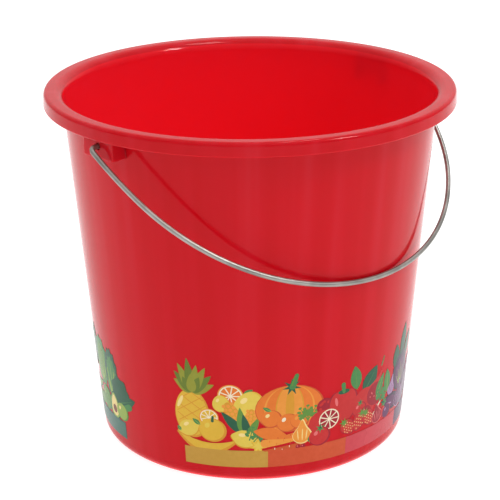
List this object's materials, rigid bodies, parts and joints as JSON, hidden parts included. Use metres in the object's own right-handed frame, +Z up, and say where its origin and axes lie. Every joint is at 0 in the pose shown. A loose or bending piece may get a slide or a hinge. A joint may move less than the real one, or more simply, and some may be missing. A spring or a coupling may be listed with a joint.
{
  "type": "bucket",
  "caption": "Small round plastic bucket with a tapered wall, turned-down rim, side lugs, swinging wire bail and printed panels near the base.",
  "frame": {"origin": "on the floor, at the centre of the foot ring", "axes": "+Z up along the bucket's axis; X along the bail's pivot axis, the bow's fuller shoulder towards +X; at rest the bail hangs against the -Y wall"},
  "size_m": [0.2374, 0.2258, 0.2],
  "materials": {
    "red_plastic": "glossy injection-moulded polypropylene, slightly translucent",
    "galvanised_wire": "drawn and galvanised steel wire, dull grey with soft highlights",
    "printed_film": "thin glossy printed film in flat colours"
  },
  "bodies": {
    "bucket": {"bucket_body": "red_plastic", "front_print": "printed_film", "back_print": "printed_film"},
    "bail": {"wire_bail": "galvanised_wire"}
  },
  "joints": [
    {"name": "bail_swing", "type": "hinge", "parent": "bucket", "child": "bail", "pos_m": [0, 0, 0.1885], "axis": [-1, 0, 0], "range_deg": [0, 255.6]}
  ]
}
